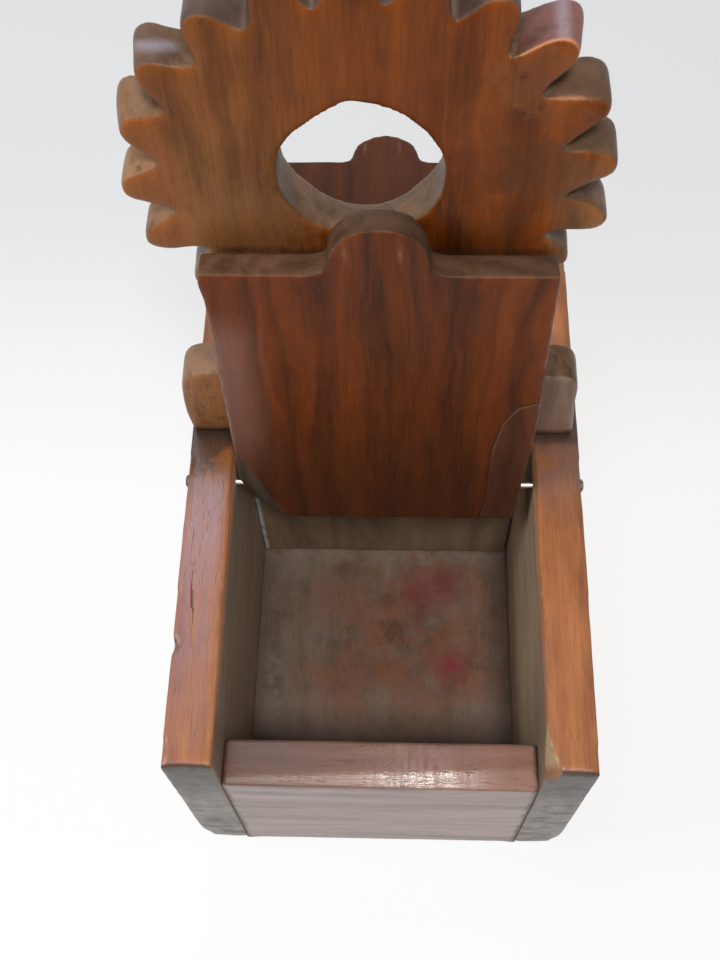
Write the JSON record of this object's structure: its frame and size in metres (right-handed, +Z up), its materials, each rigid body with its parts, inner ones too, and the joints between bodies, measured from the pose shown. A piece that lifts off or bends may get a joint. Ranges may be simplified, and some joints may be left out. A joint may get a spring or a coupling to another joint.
{
  "type": "salt box",
  "caption": "Wooden table salt box with lidded compartments either side of a carved, lobed handle board with a finger hole; each lid swings on nails.",
  "frame": {"origin": "on the surface that the box stands on, under the middle of the handle board and midway between the sides", "axes": "+Z up; the front compartment, whose lid stands open, lies towards -Y and the closed rear compartment towards +Y; +X to the right seen from the front"},
  "size_m": [0.1422, 0.2835, 0.3129],
  "materials": {
    "side_wood": "worn glossy varnish",
    "board_wood": "worn varnish, greyed on the face",
    "handle_wood": "varnished, mottled",
    "floor_wood": "bare, grey and stained",
    "lid_wood": "dark satin varnish",
    "nail_steel": "drawn wire"
  },
  "bodies": {
    "carcass": {"side_left": "side_wood", "side_right": "side_wood", "front_board": "board_wood", "rear_board": "board_wood", "handle_board": "handle_wood", "bottom_board": "floor_wood", "front_left_pivot_nail": "nail_steel", "front_right_pivot_nail": "nail_steel", "rear_left_pivot_nail": "nail_steel", "rear_right_pivot_nail": "nail_steel", "front_left_nails": "nail_steel", "front_right_nails": "nail_steel", "rear_left_nails": "nail_steel", "rear_right_nails": "nail_steel", "handle_left_nails": "nail_steel", "handle_right_nails": "nail_steel", "bottom_left_nails": "nail_steel", "bottom_right_nails": "nail_steel"},
    "front_lid": {"front_lid": "lid_wood"},
    "rear_lid": {"rear_lid": "lid_wood"}
  },
  "joints": [
    {"name": "front_lid_hinge", "type": "hinge", "parent": "carcass", "child": "front_lid", "pos_m": [0, -0.02525, 0.1095], "axis": [1, 0, 0], "range_deg": [0, 103.6]},
    {"name": "rear_lid_hinge", "type": "hinge", "parent": "carcass", "child": "rear_lid", "pos_m": [0, 0.02525, 0.1095], "axis": [1, 0, 0], "range_deg": [0, 103.6]}
  ]
}
